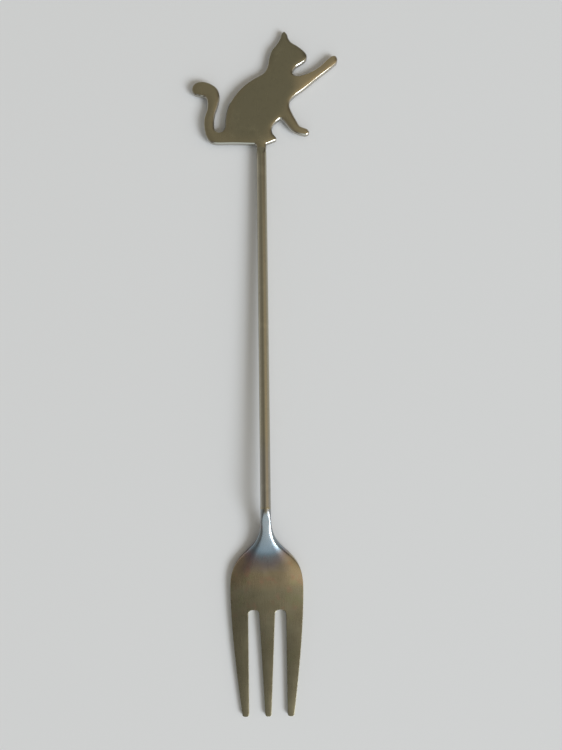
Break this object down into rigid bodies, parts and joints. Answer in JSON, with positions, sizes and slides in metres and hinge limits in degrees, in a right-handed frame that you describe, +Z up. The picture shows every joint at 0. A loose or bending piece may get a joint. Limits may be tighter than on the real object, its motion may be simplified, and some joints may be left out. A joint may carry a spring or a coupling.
{
  "type": "appetizer fork",
  "caption": "Slim metal appetizer fork: a flat sitting-cat finial with a raised paw, a straight round stem and a short tined head for picking up small bites.",
  "frame": {"origin": "on the table under the middle of the fork's overall length and width", "axes": "+Y along the fork from the tines to the cat finial, +X to the side of the raised paw, +Z up from the table, face of the fork up"},
  "size_m": [0.033, 0.1496, 0.0054],
  "materials": {
    "finial_steel": "satin, warm dark olive tone, polished rim",
    "stem_steel": "satin, drawn lengthwise",
    "head_steel": "satin, with heat tint at the neck",
    "filler": "dressed braze filler"
  },
  "bodies": {
    "root": {"cat_finial": "finial_steel", "finial_braze": "filler", "stem_rod": "stem_steel", "head_braze": "filler", "fork_head": "head_steel"}
  },
  "joints": []
}
